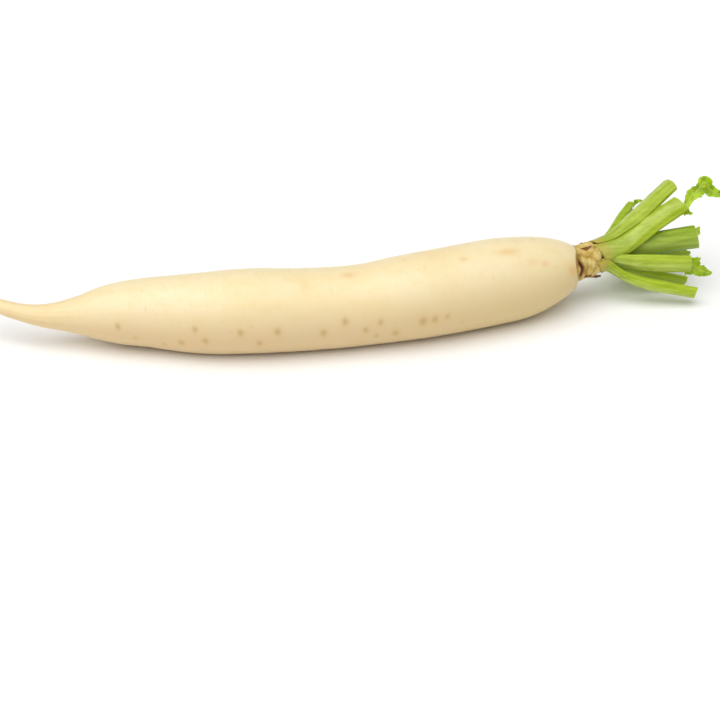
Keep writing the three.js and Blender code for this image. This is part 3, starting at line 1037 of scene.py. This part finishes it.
class RADISH_OT_root(bpy.types.Operator):
    """Add the root with its tail and its crown"""

    bl_idname = "radish.root"
    bl_label = "Root"

    def execute(self, context):
        settings = context.scene.radish_root
        shape, rings = root_shape(settings)
        piece = closed_skin("daikon_root", ROOT_AROUND, rings, shape)
        settle(piece, waxy_skin(settings), "taproot")
        return {"FINISHED"}


class RADISH_OT_stalks(bpy.types.Operator):
    """Add the cut leaf stalks round the crown"""

    bl_idname = "radish.stalks"
    bl_label = "Leaf Stalks"

    def execute(self, context):
        settings = context.scene.radish_stalks
        material = fresh_stalk(settings)
        for index, stalk in enumerate(LEAF_STALKS):
            shape, rings = stalk_shape(stalk, settings, index)
            piece = closed_skin(f"cut_stalk_{index + 1:02d}", STALK_AROUND, rings, shape)
            settle(piece, material, f"leaf_stalk_{index + 1:02d}")
        return {"FINISHED"}


class RADISH_OT_blades(bpy.types.Operator):
    """Add the scraps of leaf blade at the cut ends"""

    bl_idname = "radish.blades"
    bl_label = "Leaf Scraps"

    def execute(self, context):
        settings = context.scene.radish_leaves
        material = leaf_blade(settings)
        for index, blade in enumerate(LEAF_BLADES):
            shape = blade_shape(blade, settings, index)
            piece = closed_skin(f"leaf_scrap_{index + 1:02d}", *BLADE_GRID, shape)
            settle(piece, material, f"leaf_blade_{index + 1:02d}")
        return {"FINISHED"}


class RADISH_OT_dry_bases(bpy.types.Operator):
    """Add the dried leaf bases round the neck"""

    bl_idname = "radish.dry_bases"
    bl_label = "Dried Leaf Bases"

    def execute(self, context):
        settings = context.scene.radish_leaves
        material = dried_leaf(settings)
        for index, base in enumerate(DRY_BASES):
            shape = dry_base_shape(base, settings, index)
            piece = closed_skin(f"dried_sheath_{index + 1}", *DRY_BASE_GRID, shape)
            settle(piece, material, f"dry_leaf_base_{index + 1}")
        return {"FINISHED"}


def add_diffuser(strength):
    """A large, far overhead diffuser: even light over the whole floor, with soft shadows."""
    light = bpy.data.lights.new("overhead_diffuser", "SUN")
    light.energy = strength
    light.angle = LIGHT_ANGLE
    lamp = bpy.data.objects.new("overhead_diffuser", light)
    lamp.rotation_euler = Vector(LIGHT_DIRECTION).to_track_quat("-Z", "Y").to_euler()
    bpy.context.scene.collection.objects.link(lamp)


class RADISH_OT_stage(bpy.types.Operator):
    """Add the pale floor, the soft studio light and the camera"""

    bl_idname = "radish.stage"
    bl_label = "Stage"

    def execute(self, context):
        scene = context.scene
        settings = scene.radish_stage
        low, high = CAD_BOX
        bm = bmesh.new()
        bmesh.ops.create_grid(bm, x_segments=1, y_segments=1, size=FLOOR_REACH)
        mesh = bpy.data.meshes.new("studio_floor")
        bm.to_mesh(mesh)
        bm.free()
        floor = bpy.data.objects.new("studio_floor", mesh)
        scene.collection.objects.link(floor)
        mesh.materials.append(studio_sweep(settings.floor))

        world = bpy.data.worlds.new("studio")
        world.use_nodes = True
        background = world.node_tree.nodes["Background"]
        background.inputs["Color"].default_value = (1.0, 1.0, 1.0, 1.0)
        background.inputs["Strength"].default_value = settings.ambient
        scene.world = world

        add_diffuser(settings.key)

        camera = bpy.data.cameras.new("camera")
        camera.lens = settings.lens
        camera.sensor_width = SENSOR_WIDTH_MM
        eye = bpy.data.objects.new("camera", camera)
        turn, rise = settings.azimuth, settings.elevation
        back = Vector((math.sin(turn) * math.cos(rise), -math.cos(turn) * math.cos(rise), math.sin(rise)))
        middle = (Vector(low) + Vector(high)) / 2
        aim = Vector((middle.x + AIM_OFFSET[0], middle.y + AIM_OFFSET[1], AIM_HEIGHT))
        eye.location = aim + back * settings.distance
        eye.rotation_euler = (-back).to_track_quat("-Z", "Y").to_euler()
        scene.collection.objects.link(eye)
        scene.camera = eye
        scene.view_settings.view_transform = "Standard"
        return {"FINISHED"}


class RADISH_PT_sidebar(bpy.types.Panel):
    """The radish's pieces and their settings"""

    bl_idname = "RADISH_PT_sidebar"
    bl_label = "Daikon Radish"
    bl_space_type = "VIEW_3D"
    bl_region_type = "UI"
    bl_category = "Radish"

    def draw(self, context):
        for operators, settings in PANEL_ROWS:
            box = self.layout.box()
            for operator in operators:
                box.operator(operator)
            group = getattr(context.scene, settings)
            for name in group.__annotations__:
                box.prop(group, name)


PANEL_ROWS = [
    (("radish.root",), "radish_root"),
    (("radish.stalks",), "radish_stalks"),
    (("radish.blades", "radish.dry_bases"), "radish_leaves"),
    (("radish.stage",), "radish_stage"),
]
SETTINGS = {
    "radish_root": RadishRootSettings,
    "radish_stalks": RadishStalkSettings,
    "radish_leaves": RadishLeafSettings,
    "radish_stage": RadishStageSettings,
}
CLASSES = [
    *SETTINGS.values(), RADISH_OT_root, RADISH_OT_stalks, RADISH_OT_blades, RADISH_OT_dry_bases,
    RADISH_OT_stage, RADISH_PT_sidebar,
]


def register():
    for cls in CLASSES:
        bpy.utils.register_class(cls)
    for name, group in SETTINGS.items():
        setattr(bpy.types.Scene, name, PointerProperty(type=group))


def unregister():
    for name in SETTINGS:
        delattr(bpy.types.Scene, name)
    for cls in reversed(CLASSES):
        bpy.utils.unregister_class(cls)


def main():
    register()
    bpy.ops.radish.stage()
    bpy.ops.radish.root()
    bpy.ops.radish.stalks()
    bpy.ops.radish.blades()
    bpy.ops.radish.dry_bases()


if __name__ == "__main__":
    main()
